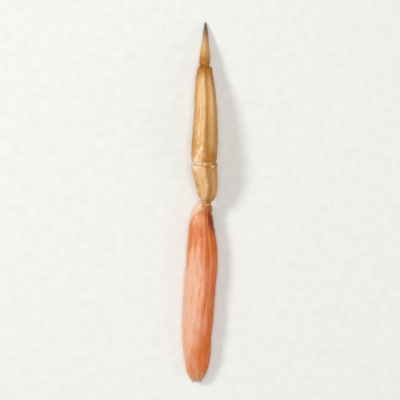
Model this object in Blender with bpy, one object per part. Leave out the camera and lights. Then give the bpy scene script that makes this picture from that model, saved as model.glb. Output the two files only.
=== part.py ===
"""A snow crab leg with its thigh peeled: the bare meat of the merus, and beyond the knee the shelled
carpus, propodus and dactylus, with the soft membrane that shows at each joint.

Metres, +Z up. The leg lies along Y, cut end at -Y and claw tip at +Y, with its meat resting on z = 0 and
its shelled half arched from the knee down to the tip. The origin is the middle of the flat spot under the
meat. Each sub-part is a loft of unlike sections along one shared axis, so that neighbours line up.
"""

import math

import bmesh
import bpy
import numpy as np

LEG = "snow_crab_leg"

# Where each sub-part starts and ends along Y.
CUT_Y = -0.0370
KNEE_Y = 0.0362
WRIST_Y = 0.0522
ANKLE_Y = 0.0922
TIP_Y = 0.1126

# Greatest width and thickness of each sub-part.
MEAT_SIZE = (0.0132, 0.0098)
CARPUS_SIZE = (0.0106, 0.0088)
PROPODUS_SIZE = (0.0106, 0.0084)
DACTYLUS_SIZE = (0.0047, 0.0045)

# Joints: a soft plug sits in the shallow socket behind a shell's rim, and the next shell starts beyond it.
# A plug's folds are given as their number round it and their height as a share of its half height.
GAP = 0.0003
WRIST_WALL, WRIST_SOCKET, WRIST_LOBES = 0.0008, 0.0018, 0.0007
ANKLE_WALL, ANKLE_SOCKET, ANKLE_LOBES = 0.0005, 0.0012, 0.0007
KNOB_HEIGHT = 0.35
PLUG_REACH = 0.0007
PLUG_FOLDS, PLUG_FOLD_HEIGHT = 7, 0.04
LOBE_BLEND = 0.0045
SHELL_FULLNESS = 1.85

# The knee's collar: its thickness, how far it laps over the carpus, its mean length, how much that varies
# round the leg, the angle where it is shortest, and the waves of its edge as (number round the leg, height).
COLLAR_SKIN, COLLAR_REACH = 0.0007, 0.0008
COLLAR_LENGTH, COLLAR_LEAN, COLLAR_SHORT_ANGLE = 0.0058, 0.0034, 0.9
COLLAR_WAVES = [(5, 0.0006), (3, 0.0005)]

# The leg's axis: its centre line's corners as (x, y, z), rounded over CORNER to both sides.
AXIS = np.array(
    [
        (-0.0014, CUT_Y - 0.006, 0.0027),
        (-0.0014, CUT_Y, 0.0027),
        (-0.0015, -0.0180, 0.0042),
        (0.0008, 0.0160, 0.0043),
        (0.0011, 0.0300, 0.0046),
        (0.0019, KNEE_Y, 0.0060),
        (0.0034, 0.0405, 0.0074),
        (0.0015, WRIST_Y, 0.0114),
        (0.0023, 0.0740, 0.0092),
        (0.0017, ANKLE_Y, 0.0061),
        (0.0022, 0.1030, 0.0037),
        (0.0022, TIP_Y, 0.0002),
        (0.0020, TIP_Y + 0.006, -0.0012),
    ]
)
CORNER = 0.0042
CORNER_SAMPLES = 15

# Outlines as (share of the length, share of the greatest width).
MEAT_OUTLINE = [
    (0.000, 0.06),
    (0.003, 0.22),
    (0.010, 0.38),
    (0.022, 0.51),
    (0.040, 0.61),
    (0.065, 0.70),
    (0.100, 0.78),
    (0.150, 0.85),
    (0.220, 0.90),
    (0.340, 0.97),
    (0.500, 1.00),
    (0.650, 0.985),
    (0.780, 0.925),
    (0.865, 0.86),
    (0.915, 0.75),
    (0.955, 0.57),
    (0.985, 0.42),
    (1.000, 0.36),
]
CARPUS_OUTLINE = [
    (0.00, 0.36),
    (0.02, 0.39),
    (0.07, 0.41),
    (0.12, 0.52),
    (0.18, 0.64),
    (0.36, 0.76),
    (0.55, 0.87),
    (0.74, 0.95),
    (0.91, 1.00),
    (1.00, 0.97),
]
PROPODUS_OUTLINE = [
    (0.000, 0.84),
    (0.008, 0.90),
    (0.020, 0.95),
    (0.045, 0.985),
    (0.090, 1.00),
    (0.150, 0.99),
    (0.300, 0.93),
    (0.500, 0.85),
    (0.700, 0.76),
    (0.850, 0.67),
    (0.940, 0.585),
    (0.985, 0.555),
    (1.000, 0.530),
]
DACTYLUS_OUTLINE = [
    (0.00, 0.70),
    (0.02, 0.86),
    (0.06, 0.97),
    (0.12, 1.00),
    (0.30, 0.88),
    (0.50, 0.66),
    (0.70, 0.45),
    (0.87, 0.25),
    (0.96, 0.13),
    (1.00, 0.05),
]

# Lengthwise ridges of the shell as (angle in degrees from +X, height, half width in degrees).
CARPUS_RIDGES = [(94, 0.00065, 13), (158, 0.00045, 13), (30, 0.00045, 13), (270, 0.00030, 20)]
PROPODUS_RIDGES = [
    (97, 0.00075, 11),
    (54, 0.00045, 11),
    (172, 0.00045, 12),
    (8, 0.00040, 12),
    (268, 0.00040, 16),
]
DACTYLUS_RIDGES = [(90, 0.00020, 20), (162, 0.00015, 16), (18, 0.00015, 16), (270, 0.00015, 20)]

# The meat: how full its sections are, and how much it bulges in waves along its length.
MEAT_FULLNESS, MEAT_BULGE = 2.15, 0.018

# The meat's muscle bundles: lengthwise grooves that wander a little, and one seam over the tendon plate.
BUNDLES = 9
BUNDLE_DEPTH, BUNDLE_WIDTH = 0.00022, 0.13
SEAM_ANGLE, SEAM_DEPTH, SEAM_WIDTH, SEAM_SWAY = math.radians(66), 0.00036, 0.15, 0.10

# The cut end's fraying: how far fibres stand out, and from and to which share of the meat's length.
FRAY, FRAY_FROM, FRAY_TO = 0.0006, 0.012, 0.07

# The meat's right shoulder falls away before the knee: how far, and along which shares of the length.
SLOPE_ANGLE, SLOPE_DEPTH = math.radians(10), 0.0012
SLOPE = [(0.00, 0.0), (0.74, 0.0), (0.88, 1.0), (0.95, 1.0), (1.00, 0.35)]


def smooth_curve(at, keys):
    """Values of the smooth curve through keys, which are (place, value), without overshoot."""
    place, value = np.array(keys, float).T
    width = np.diff(place)
    slope = np.diff(value) / width
    product = slope[:-1] * slope[1:]
    total = np.where(product > 0, slope[:-1] + slope[1:], 1)
    inner = np.where(product > 0, 2 * product / total, 0)
    tangent = np.concatenate([slope[:1], inner, slope[-1:]])
    i = np.clip(np.searchsorted(place, at) - 1, 0, len(width) - 1)
    f = np.clip((at - place[i]) / width[i], 0, 1)
    start = value[i] * (1 + 2 * f) * (1 - f) ** 2 + tangent[i] * width[i] * f * (1 - f) ** 2
    end = value[i + 1] * (3 - 2 * f) * f**2 - tangent[i + 1] * width[i] * (1 - f) * f**2
    return start + end


def axis_centre(y):
    """Points of the leg's axis at y, its corners rounded by averaging the straight runs."""
    reach = np.linspace(-CORNER, CORNER, CORNER_SAMPLES)
    x, z = (
        np.mean([np.interp(y + r, AXIS[:, 1], AXIS[:, column]) for r in reach], axis=0)
        for column in (0, 2)
    )
    return np.stack([x, y, z], axis=-1)


def along_axis(y, across, up):
    """Points at y on the axis, moved across and up in the plane square to it."""
    step = 0.0005
    forward = axis_centre(y + step) - axis_centre(y - step)
    forward /= np.linalg.norm(forward, axis=-1, keepdims=True)
    side = np.stack([forward[..., 1], -forward[..., 0], np.zeros_like(y)], axis=-1)
    side /= np.linalg.norm(side, axis=-1, keepdims=True)
    return axis_centre(y) + side * across[..., None] + np.cross(side, forward) * up[..., None]


def turned(angle, other):
    """The angle between two angles, from -pi to pi."""
    return (angle - other + math.pi) % (2 * math.pi) - math.pi


def section(angle, half_width, half_height, fullness, relief):
    """Across and up for a superellipse (fullness 2 is an ellipse, less is nearer a rhombus), plus relief."""
    c, s = np.cos(angle), np.sin(angle)
    across = half_width * np.sign(c) * np.abs(c) ** (2 / fullness)
    up = half_height * np.sign(s) * np.abs(s) ** (2 / fullness)
    out = np.stack([c * half_height, s * half_width])
    out /= np.maximum(np.linalg.norm(out, axis=0), 1e-9)
    return across + out[0] * relief, up + out[1] * relief


def grid(rows, sides):
    """Angles round each of the rows, turned half a side so that no seam lies on top."""
    return np.tile((np.arange(sides) + 0.5) * 2 * math.pi / sides, (rows, 1))


def ridge_relief(angle, ridges, strength):
    """Height of the lengthwise ridges at each angle."""
    relief = np.zeros_like(angle)
    for degrees, height, width in ridges:
        away = turned(angle, math.radians(degrees)) / math.radians(width)
        relief += height * strength * np.exp(-(away**2))
    return relief


def loft(name, points, material, ring_closed=False):
    """A closed mesh through the rows of points: its ends fanned shut, or joined into a ring."""
    mesh = bpy.data.meshes.new(name)
    bm = bmesh.new()
    rows = [[bm.verts.new(p) for p in row] for row in points]
    pairs = list(zip(rows, rows[1:]))
    if ring_closed:
        pairs.append((rows[-1], rows[0]))
    for lower, upper in pairs:
        for i, vertex in enumerate(lower):
            j = (i + 1) % len(lower)
            bm.faces.new((vertex, lower[j], upper[j], upper[i]))
    if not ring_closed:
        for row in (rows[0], rows[-1]):
            centre = bm.verts.new(sum((v.co for v in row[1:]), row[0].co.copy()) / len(row))
            for i, vertex in enumerate(row):
                bm.faces.new((vertex, row[(i + 1) % len(row)], centre))
    bmesh.ops.recalc_face_normals(bm, faces=bm.faces)
    bm.to_mesh(mesh)
    bm.free()
    mesh.shade_smooth()
    mesh.materials.append(material)
    obj = bpy.data.objects.new(name, mesh)
    bpy.data.collections[LEG].objects.link(obj)
    return obj


def finish(name, colour, roughness, subsurface):
    """A moist organic material."""
    material = bpy.data.materials.new(name)
    material.use_nodes = True
    shader = material.node_tree.nodes["Principled BSDF"]
    shader.inputs["Base Color"].default_value = (*colour, 1)
    shader.inputs["Roughness"].default_value = roughness
    shader.inputs["Subsurface Weight"].default_value = subsurface
    shader.inputs["Subsurface Radius"].default_value = (0.003, 0.0012, 0.0006)
    return material


def meat_surface(y, angle, offset=0.0):
    """Points on the meat's surface, offset outwards, with its bundles and its flat underside."""
    share = (y - CUT_Y) / (KNEE_Y - CUT_Y)
    outline = smooth_curve(share, MEAT_OUTLINE)
    away = turned(angle, SEAM_ANGLE + SEAM_SWAY * np.sin(2.6 * math.pi * share)) / SEAM_WIDTH
    relief = -SEAM_DEPTH * np.exp(-(away**2))
    spread = np.random.default_rng(11)
    for bundle in range(BUNDLES):
        place = 2 * math.pi * (bundle + spread.uniform(-0.3, 0.3)) / BUNDLES
        wander = spread.uniform(0.04, 0.14) * np.sin(spread.uniform(3, 9) * share + place)
        depth = BUNDLE_DEPTH * spread.uniform(0.5, 1.3)
        away = turned(angle, place + wander) / BUNDLE_WIDTH
        relief -= depth * np.exp(-(away**2))
    relief -= SLOPE_DEPTH * smooth_curve(share, SLOPE) * np.clip(np.cos(angle - SLOPE_ANGLE), 0, 1)
    belly = 0.5 + 0.5 * np.sin(3.3 * math.pi * share + 0.6)
    half_width = MEAT_SIZE[0] / 2 * outline * (1 + MEAT_BULGE * belly)
    half_height = MEAT_SIZE[1] / 2 * outline
    across, up = section(angle, half_width + offset, half_height + offset, MEAT_FULLNESS, relief * outline)
    points = along_axis(y, across, up)
    points[..., 2] = np.maximum(points[..., 2], 0)
    return points


def meat(material):
    """The peeled merus: a flattened spindle of muscle, frayed at its cut end and drawn in at the knee."""
    sides, rows = 42, 54
    ease = np.linspace(0, 1, rows)
    share = ease + 0.11 * np.sin(2 * math.pi * ease) / (2 * math.pi) - 0.03 * np.sin(4 * math.pi * ease)
    length = KNEE_Y - GAP - CUT_Y
    angle = grid(rows, sides)
    y = CUT_Y + np.tile(share[:, None] * length, (1, sides))
    frayed = FRAY * (np.sin(5 * angle + 0.7) + 0.7 * np.sin(9 * angle + 2.1))
    points = meat_surface(y, angle)
    share = share[:, None]
    points[..., 1] += frayed * np.clip(1 - share / FRAY_TO, 0, 1) ** 2 * np.clip(share / FRAY_FROM, 0, 1)
    return loft("merus_meat", points, material)


def collar(material):
    """What is left of the knee's membrane: a skirt over the meat's shoulder, longest on its left side."""
    sides = 32
    reach = np.array([0.0, 0.25, 0.5, 0.75, 0.93, 1.0, 0.9, 0.68, 0.4, 0.12])
    thickness = np.array([0.55, 1.0, 1.0, 0.8, 0.45, 0.15, 0.0, 0.0, 0.0, 0.0]) * COLLAR_SKIN
    angle = grid(len(reach), sides)
    longest = COLLAR_LENGTH - COLLAR_LEAN * np.cos(angle - COLLAR_SHORT_ANGLE)
    for waves, height in COLLAR_WAVES:
        longest += height * np.sin(waves * angle)
    y = KNEE_Y + COLLAR_REACH - reach[:, None] * longest
    return loft("knee_collar", meat_surface(y, angle, GAP + thickness[:, None]), material, ring_closed=True)


def shell(name, start, end, size, outline, ridges, sides, rows, material, wall=0.0, socket=0.0, lobes=0.0):
    """A shelled sub-part: its outer surface from start to end along Y, then the socket behind its rim.

    size is its greatest width and thickness. lobes is how far the rim reaches on at the two condyles,
    which stand out from it as low knobs.
    """
    share = np.linspace(0, 1, rows) ** 1.2
    y = start + share * (end - start)
    half = smooth_curve(share, outline)[:, None] * np.array(size) / 2
    strength = smooth_curve(share, [(0, 0), (0.12, 0.3), (0.25, 1), (0.9, 1), (1, 0.5)])
    near_rim = np.clip(1 - (end - y) / LOBE_BLEND, 0, 1) ** 2
    if socket:
        depth = np.array([0.02, 0.15, 0.5, 0.85, 1.0])
        inset = np.array([0.45, 1.0, 1.1, 1.25, 2.2])
        y = np.concatenate([y, end - depth * socket])
        half = np.concatenate([half, half[-1] - inset[:, None] * wall])
        strength = np.concatenate([strength, np.zeros(len(depth))])
        near_rim = np.concatenate([near_rim, np.maximum(1 - 1.6 * depth, 0)])
    angle = grid(len(y), sides)
    relief = ridge_relief(angle, ridges, strength[:, None])
    relief[:rows] += KNOB_HEIGHT * lobes * (np.cos(angle[:rows]) ** 8) * near_rim[:rows, None] ** 2
    across, up = section(angle, half[:, :1], half[:, 1:], SHELL_FULLNESS, relief)
    reach = np.abs(np.cos(angle)) ** 3 - 0.4 * np.maximum(np.sin(angle), 0) ** 2
    return loft(name, along_axis(y[:, None] + lobes * reach * near_rim[:, None], across, up), material)


def plug(name, start, end, half_width, half_height, sides, material):
    """A soft barrel with lengthwise folds, between a socket and the next shell."""
    share = np.array([0.0, 0.08, 0.25, 0.5, 0.75, 0.92, 1.0])
    swell = np.array([0.62, 0.88, 0.97, 1.0, 0.97, 0.88, 0.62])[:, None]
    angle = grid(len(share), sides)
    folds = PLUG_FOLD_HEIGHT * half_height * np.sin(PLUG_FOLDS * angle)
    across, up = section(angle, half_width * swell, half_height * swell, SHELL_FULLNESS, folds)
    y = np.broadcast_to((start + share * (end - start))[:, None], angle.shape)
    return loft(name, along_axis(y, across, up), material)


def rim_half(size, outline, wall):
    """Half the width and height of a plug, clear of the wall of the socket behind a shell's rim."""
    return (outline[-1][1] * side / 2 - 1.3 * wall - GAP for side in size)


def main():
    for obj in list(bpy.data.objects):
        bpy.data.objects.remove(obj)
    bpy.context.scene.collection.children.link(bpy.data.collections.new(LEG))

    flesh = finish("meat", (0.80, 0.38, 0.24), 0.32, 0.25)
    skin = finish("membrane", (0.72, 0.42, 0.22), 0.35, 0.2)
    crust = finish("shell", (0.66, 0.45, 0.24), 0.42, 0.1)

    meat(flesh)
    collar(skin)
    shell(
        "carpus",
        KNEE_Y,
        WRIST_Y,
        CARPUS_SIZE,
        CARPUS_OUTLINE,
        CARPUS_RIDGES,
        sides=32,
        rows=22,
        material=crust,
        wall=WRIST_WALL,
        socket=WRIST_SOCKET,
        lobes=WRIST_LOBES,
    )
    plug(
        "wrist_membrane",
        WRIST_Y - WRIST_SOCKET + GAP,
        WRIST_Y + PLUG_REACH,
        *rim_half(CARPUS_SIZE, CARPUS_OUTLINE, WRIST_WALL),
        sides=28,
        material=skin,
    )
    shell(
        "propodus",
        WRIST_Y + PLUG_REACH + GAP,
        ANKLE_Y,
        PROPODUS_SIZE,
        PROPODUS_OUTLINE,
        PROPODUS_RIDGES,
        sides=32,
        rows=36,
        material=crust,
        wall=ANKLE_WALL,
        socket=ANKLE_SOCKET,
        lobes=ANKLE_LOBES,
    )
    plug(
        "ankle_membrane",
        ANKLE_Y - ANKLE_SOCKET + GAP,
        ANKLE_Y + PLUG_REACH,
        *rim_half(PROPODUS_SIZE, PROPODUS_OUTLINE, ANKLE_WALL),
        sides=20,
        material=skin,
    )
    shell(
        "dactylus",
        ANKLE_Y + PLUG_REACH + GAP,
        TIP_Y,
        DACTYLUS_SIZE,
        DACTYLUS_OUTLINE,
        DACTYLUS_RIDGES,
        sides=20,
        rows=26,
        material=crust,
    )


main()
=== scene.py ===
"""The looks of a snow crab leg: peeled merus meat below the knee, cooked shell beyond it.

Metres, +Z up, in the CAD model's frame: the leg lies along Y with its cut end at -Y and its claw tip at +Y.
Each piece that stands for a solid is a fine loft of the same form, with relief and with the colour fields
that its material reads. The loose fibres and the strands of membrane are added here.
"""

import itertools
import math

import bpy
import numpy as np
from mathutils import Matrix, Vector


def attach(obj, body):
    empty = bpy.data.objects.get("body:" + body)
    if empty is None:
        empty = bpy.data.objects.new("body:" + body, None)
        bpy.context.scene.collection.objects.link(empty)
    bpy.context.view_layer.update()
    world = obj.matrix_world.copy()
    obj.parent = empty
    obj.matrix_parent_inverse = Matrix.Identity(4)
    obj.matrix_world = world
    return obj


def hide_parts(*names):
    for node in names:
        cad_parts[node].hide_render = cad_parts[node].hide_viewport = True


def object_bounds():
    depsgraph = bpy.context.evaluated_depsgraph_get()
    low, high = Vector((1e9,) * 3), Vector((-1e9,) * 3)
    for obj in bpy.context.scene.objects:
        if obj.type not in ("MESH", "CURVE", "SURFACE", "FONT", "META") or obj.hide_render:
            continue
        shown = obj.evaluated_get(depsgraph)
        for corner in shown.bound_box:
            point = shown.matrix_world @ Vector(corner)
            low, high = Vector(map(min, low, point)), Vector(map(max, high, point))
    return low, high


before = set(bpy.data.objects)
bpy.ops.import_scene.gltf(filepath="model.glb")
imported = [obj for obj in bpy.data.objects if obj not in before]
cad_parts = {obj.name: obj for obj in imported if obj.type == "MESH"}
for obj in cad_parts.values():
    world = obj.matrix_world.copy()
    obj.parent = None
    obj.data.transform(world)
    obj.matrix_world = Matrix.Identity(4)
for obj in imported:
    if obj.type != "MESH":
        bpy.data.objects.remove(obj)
cad_low, cad_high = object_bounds()

# The form, as in the CAD model: where each sub-part starts and ends along Y, and its greatest cross size.
CUT_Y = -0.0370
KNEE_Y = 0.0362
WRIST_Y = 0.0522
ANKLE_Y = 0.0922
TIP_Y = 0.1126
MEAT_SIZE = (0.0132, 0.0098)
CARPUS_SIZE = (0.0106, 0.0088)
PROPODUS_SIZE = (0.0106, 0.0084)
DACTYLUS_SIZE = (0.0047, 0.0045)
SHELL_FULLNESS = 1.85

# Joints: the gap between neighbours, and at each shell's rim its wall, its socket's depth and how far its two
# condyles reach on. Their height and how far the rim tucks in at them are shares of that reach. LOBE_BLEND is
# how far before the rim they begin.
GAP = 0.0003
WRIST_WALL, WRIST_SOCKET, WRIST_LOBES = 0.0008, 0.0018, 0.0007
ANKLE_WALL, ANKLE_SOCKET, ANKLE_LOBES = 0.0005, 0.0012, 0.0007
KNOB_HEIGHT, RIM_TUCK, LOBE_BLEND = 0.35, 0.55, 0.0045

# The soft skin of a joint: how far the solid plug reaches out of its socket, how much further the skin goes
# at the wrist and the ankle, how far past the rim the gap's middle is, and how far the skin swells there.
PLUG_REACH = 0.0007
WRIST_SKIN_EXTRA, ANKLE_SKIN_EXTRA = 0.0010, 0.0008
GAP_MIDDLE = 0.0005
JOINT_SWELL = 0.00052

# The knee's collar: its thickness, how far it laps over the carpus, its mean length, how much that varies
# round the leg, the angle where it is shortest, and the waves of its edge as (number round the leg, height).
COLLAR_SKIN, COLLAR_REACH = 0.0007, 0.0008
COLLAR_LENGTH, COLLAR_LEAN, COLLAR_SHORT_ANGLE = 0.0058, 0.0034, 0.9
COLLAR_WAVES = [(5, 0.0006), (3, 0.0005)]

# The leg's axis: its centre line's corners as (x, y, z), rounded over CORNER to both sides.
AXIS = np.array(
    [
        (-0.0014, CUT_Y - 0.006, 0.0027),
        (-0.0014, CUT_Y, 0.0027),
        (-0.0015, -0.0180, 0.0042),
        (0.0008, 0.0160, 0.0043),
        (0.0011, 0.0300, 0.0046),
        (0.0019, KNEE_Y, 0.0060),
        (0.0034, 0.0405, 0.0074),
        (0.0015, WRIST_Y, 0.0114),
        (0.0023, 0.0740, 0.0092),
        (0.0017, ANKLE_Y, 0.0061),
        (0.0022, 0.1030, 0.0037),
        (0.0022, TIP_Y, 0.0002),
        (0.0020, TIP_Y + 0.006, -0.0012),
    ]
)
CORNER = 0.0042
CORNER_SAMPLES = 15

# Outlines as (share of the length, share of the greatest width).
MEAT_OUTLINE = [
    (0.000, 0.06),
    (0.003, 0.22),
    (0.010, 0.38),
    (0.022, 0.51),
    (0.040, 0.61),
    (0.065, 0.70),
    (0.100, 0.78),
    (0.150, 0.85),
    (0.220, 0.90),
    (0.340, 0.97),
    (0.500, 1.00),
    (0.650, 0.985),
    (0.780, 0.925),
    (0.865, 0.86),
    (0.915, 0.75),
    (0.955, 0.57),
    (0.985, 0.42),
    (1.000, 0.36),
]
CARPUS_OUTLINE = [
    (0.00, 0.36),
    (0.02, 0.39),
    (0.07, 0.41),
    (0.12, 0.52),
    (0.18, 0.64),
    (0.36, 0.76),
    (0.55, 0.87),
    (0.74, 0.95),
    (0.91, 1.00),
    (1.00, 0.97),
]
PROPODUS_OUTLINE = [
    (0.000, 0.84),
    (0.008, 0.90),
    (0.020, 0.95),
    (0.045, 0.985),
    (0.090, 1.00),
    (0.150, 0.99),
    (0.300, 0.93),
    (0.500, 0.85),
    (0.700, 0.76),
    (0.850, 0.67),
    (0.940, 0.585),
    (0.985, 0.555),
    (1.000, 0.530),
]
DACTYLUS_OUTLINE = [
    (0.00, 0.70),
    (0.02, 0.86),
    (0.06, 0.97),
    (0.12, 1.00),
    (0.30, 0.88),
    (0.50, 0.66),
    (0.70, 0.45),
    (0.87, 0.25),
    (0.96, 0.13),
    (1.00, 0.05),
]

# Lengthwise ridges of the shell as (angle in degrees from +X, height, half width in degrees).
CARPUS_RIDGES = [(94, 0.00065, 13), (158, 0.00045, 13), (30, 0.00045, 13), (270, 0.00030, 20)]
PROPODUS_RIDGES = [
    (97, 0.00075, 11),
    (54, 0.00045, 11),
    (172, 0.00045, 12),
    (8, 0.00040, 12),
    (268, 0.00040, 16),
]
DACTYLUS_RIDGES = [(90, 0.00020, 20), (162, 0.00015, 16), (18, 0.00015, 16), (270, 0.00015, 20)]

# How deep the shell's colour is at each angle in degrees, from cream (0) to tan (1), and where it is even all
# round. It is partly the shell's own banding and partly painted shade, deepening at both side edges and on
# the right, which turn away from the key light. Then the grooves that run along it, given like the ridges,
# and how many and how deep the claw's flutes are.
SHELL_TONE_AND_SHADE = [
    (-180, 0.62), (-150, 0.35), (-115, 0.16), (-60, 0.22), (-25, 0.62), (8, 0.92), (34, 0.72), (56, 0.38),
    (75, 0.86), (90, 0.36), (101, 0.02), (122, 0.00), (140, 0.12), (158, 0.40), (172, 0.60), (180, 0.62),
]
EVEN_TONE = 0.30
SHELL_GROOVES = [(76, 0.00012, 6), (118, 0.00004, 9), (36, 0.00008, 7), (146, 0.00008, 7)]
CLAW_FLUTES, CLAW_FLUTE_DEPTH = 9, 0.00007

# The heights at which a granule is palest and a boss is fully white with painted highlight.
PALE_GRAIN, BOSS_HIGHLIGHT_HEIGHT = 0.00012, 0.0003

# The meat: how full its sections are, how much it bulges in waves along its length, its muscle bundles, and
# the seam over its tendon plate.
MEAT_FULLNESS, MEAT_BULGE = 2.15, 0.018
BUNDLES = 9
BUNDLE_DEPTH, BUNDLE_WIDTH = 0.00022, 0.13
SEAM_ANGLE, SEAM_DEPTH, SEAM_WIDTH, SEAM_SWAY = math.radians(66), 0.00036, 0.15, 0.10

# The cut end: how high the waves are that fray it, and by which shares of the meat's length they are full and
# have faded out. Then its loose fibres, one in FLAKE_EVERY a flat flake, and how far they may stand free.
FRAY, FRAY_FROM, FRAY_TO = 0.0006, 0.012, 0.07
FIBRES, FLAKE_EVERY = 150, 7
FIBRE_OVERHANG = 0.0014

# The meat's right shoulder falls away before the knee: how far, and along which shares of the length.
SLOPE_ANGLE, SLOPE_DEPTH = math.radians(10), 0.0012
SLOPE = [(0.00, 0.0), (0.74, 0.0), (0.88, 1.0), (0.95, 1.0), (1.00, 0.35)]

# The strands of membrane on the right shoulder: each one's start and length along Y, its angle in degrees and
# how far that bends, its greatest half width and its half thickness.
SHRED_STRIPS = [
    (0.0339, 0.0080, 24, 0.15, 0.00036, 0.00006),
    (0.0339, 0.0049, 33, 0.10, 0.00015, 0.00005),
    (0.0339, 0.0036, 12, -0.08, 0.00014, 0.00005),
]

# Mean radii, which turn a width on the surface into an angle.
MEAT_RADIUS, SHELL_RADIUS, CLAW_RADIUS = 0.0055, 0.0045, 0.0020

# The studio: its sky, each light's name, place, width, power in watts and colour, the point that the lights
# face, and the floor's width.
SKY_COLOUR, SKY_STRENGTH = (1.0, 0.985, 0.96, 1), 0.30
LIGHTS = [
    ("key", (-0.78, 0.36, 0.78), 0.30, 5.7, (1.0, 0.98, 0.95)),
    ("top", (0.06, 0.10, 1.30), 0.70, 7.0, (1.0, 0.99, 0.965)),
    ("fill", (0.90, -0.40, 0.60), 0.80, 2.0, (1.0, 0.965, 0.91)),
]
LIT_POINT = (0.001, 0.037, 0.004)
FLOOR_WIDTH = 4


# ---------------------------------------------------------------- curves and sections


def smooth_curve(at, keys):
    """Values of the smooth curve through keys, which are (place, value), without overshoot."""
    place, value = np.array(keys, float).T
    width = np.diff(place)
    slope = np.diff(value) / width
    product = slope[:-1] * slope[1:]
    total = np.where(product > 0, slope[:-1] + slope[1:], 1)
    inner = np.where(product > 0, 2 * product / total, 0)
    tangent = np.concatenate([slope[:1], inner, slope[-1:]])
    i = np.clip(np.searchsorted(place, at) - 1, 0, len(width) - 1)
    f = np.clip((at - place[i]) / width[i], 0, 1)
    start = value[i] * (1 + 2 * f) * (1 - f) ** 2 + tangent[i] * width[i] * f * (1 - f) ** 2
    end = value[i + 1] * (3 - 2 * f) * f**2 - tangent[i + 1] * width[i] * (1 - f) * f**2
    return start + end


def axis_centre(y):
    """Points of the leg's axis at y, its corners rounded by averaging the straight runs."""
    reach = np.linspace(-CORNER, CORNER, CORNER_SAMPLES)
    x, z = (
        np.mean([np.interp(y + r, AXIS[:, 1], AXIS[:, column]) for r in reach], axis=0)
        for column in (0, 2)
    )
    return np.stack([x, y, z], axis=-1)


def along_axis(y, across, up):
    """Points at y on the axis, moved across and up in the plane square to it."""
    step = 0.0005
    forward = axis_centre(y + step) - axis_centre(y - step)
    forward /= np.linalg.norm(forward, axis=-1, keepdims=True)
    side = np.stack([forward[..., 1], -forward[..., 0], np.zeros_like(y)], axis=-1)
    side /= np.linalg.norm(side, axis=-1, keepdims=True)
    return axis_centre(y) + side * across[..., None] + np.cross(side, forward) * up[..., None]


def turned(angle, other):
    """The angle between two angles, from -pi to pi."""
    return (angle - other + math.pi) % (2 * math.pi) - math.pi


def section(angle, half_width, half_height, fullness, relief):
    """Across and up for a superellipse (fullness 2 is an ellipse, less is nearer a rhombus), plus relief."""
    c, s = np.cos(angle), np.sin(angle)
    across = half_width * np.sign(c) * np.abs(c) ** (2 / fullness)
    up = half_height * np.sign(s) * np.abs(s) ** (2 / fullness)
    out = np.stack([c * half_height, s * half_width])
    out /= np.maximum(np.linalg.norm(out, axis=0), 1e-9)
    return across + out[0] * relief, up + out[1] * relief


def grid(rows, sides):
    """Angles round each of the rows, turned half a side so that no seam lies on top."""
    return np.tile((np.arange(sides) + 0.5) * 2 * math.pi / sides, (rows, 1))


def bell(distance, width):
    return np.exp(-((distance / width) ** 2))


def step_up(value, low, high):
    """0 below low, 1 above high, and smooth between."""
    f = np.clip((value - low) / (high - low), 0, 1)
    return f * f * (3 - 2 * f)


# ---------------------------------------------------------------- random relief, the same each run


def lattice(cell, seed):
    """A repeatable random number from 0 to 1 for each cell of a cubic lattice."""
    mixed = (cell @ np.array([73856093, 19349663, 83492791])) ^ (seed * 2654435761)
    mixed = (mixed ^ (mixed >> 13)) * 1274126177 & 0xFFFFFFFF
    mixed = (mixed ^ (mixed >> 15)) * 2246822519 & 0xFFFFFFFF
    return ((mixed ^ (mixed >> 16)) & 0xFFFFFF) / 0xFFFFFF


def noise(place, seed):
    """Smooth random values from -1 to 1, one bump to a unit of place."""
    cell = np.floor(place).astype(np.int64)
    f = place - cell
    f = f * f * (3 - 2 * f)
    total = 0
    for corner in itertools.product((0, 1), repeat=3):
        weight = np.prod(np.where(corner, f, 1 - f), axis=-1)
        total = total + weight * lattice(cell + np.array(corner), seed)
    return 2 * total - 1


def fractal(place, seed):
    """Noise with two layers of finer and weaker noise added to it."""
    return sum(noise(place * 2**k, seed + k) / 2**k for k in range(3))


def round_leg(y, angle, radius, width, length):
    """Places for noise whose bumps are width wide round the leg and length long along it."""
    round_size = radius / width
    return np.stack([round_size * np.cos(angle), round_size * np.sin(angle), y / length], axis=-1)


def creases(place, seed, sharpness):
    """1 along thin wandering lines, falling to 0 away from them."""
    return (1 - np.abs(noise(place, seed))) ** sharpness


# ---------------------------------------------------------------- meshes


def loft(points, fields, ring=False):
    """Vertices, faces and vertex values of a closed skin through rows of points."""
    rows, sides = points.shape[:2]
    corners = np.arange(rows * sides).reshape(rows, sides)
    lower = corners if ring else corners[:-1]
    upper = np.roll(corners, -1, axis=0) if ring else corners[1:]
    quads = np.stack([lower, upper, np.roll(upper, -1, axis=1), np.roll(lower, -1, axis=1)], axis=-1)
    faces = quads.reshape(-1, 4).tolist()
    places = points.reshape(-1, 3)
    values = {key: np.broadcast_to(field, (rows, sides)).reshape(-1) for key, field in fields.items()}
    if not ring:
        for row, order in ((corners[0], 1), (corners[-1], -1)):
            hub = len(places)
            places = np.vstack([places, places[row].mean(axis=0)])
            values = {key: np.append(v, v[row].mean()) for key, v in values.items()}
            ends = np.stack([row, np.roll(row, -1), np.full(sides, hub)], axis=-1)
            faces += ends[:, ::order].tolist()
    return places, faces, values


def ribbon(path, half_width, half_thickness, side, sides):
    """Rows of points round a path, flat across its side direction."""
    turn = (np.arange(sides) + 0.5) * 2 * math.pi / sides
    forward = np.gradient(path, axis=0)
    forward /= np.linalg.norm(forward, axis=1, keepdims=True)
    across = side - forward * (forward @ side)[:, None]
    across /= np.linalg.norm(across, axis=1, keepdims=True)
    up = np.cross(across, forward)
    wide = (across * half_width[:, None])[:, None] * np.cos(turn)[:, None]
    thick = (up * half_thickness[:, None])[:, None] * np.sin(turn)[:, None]
    return path[:, None] + wide + thick


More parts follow.
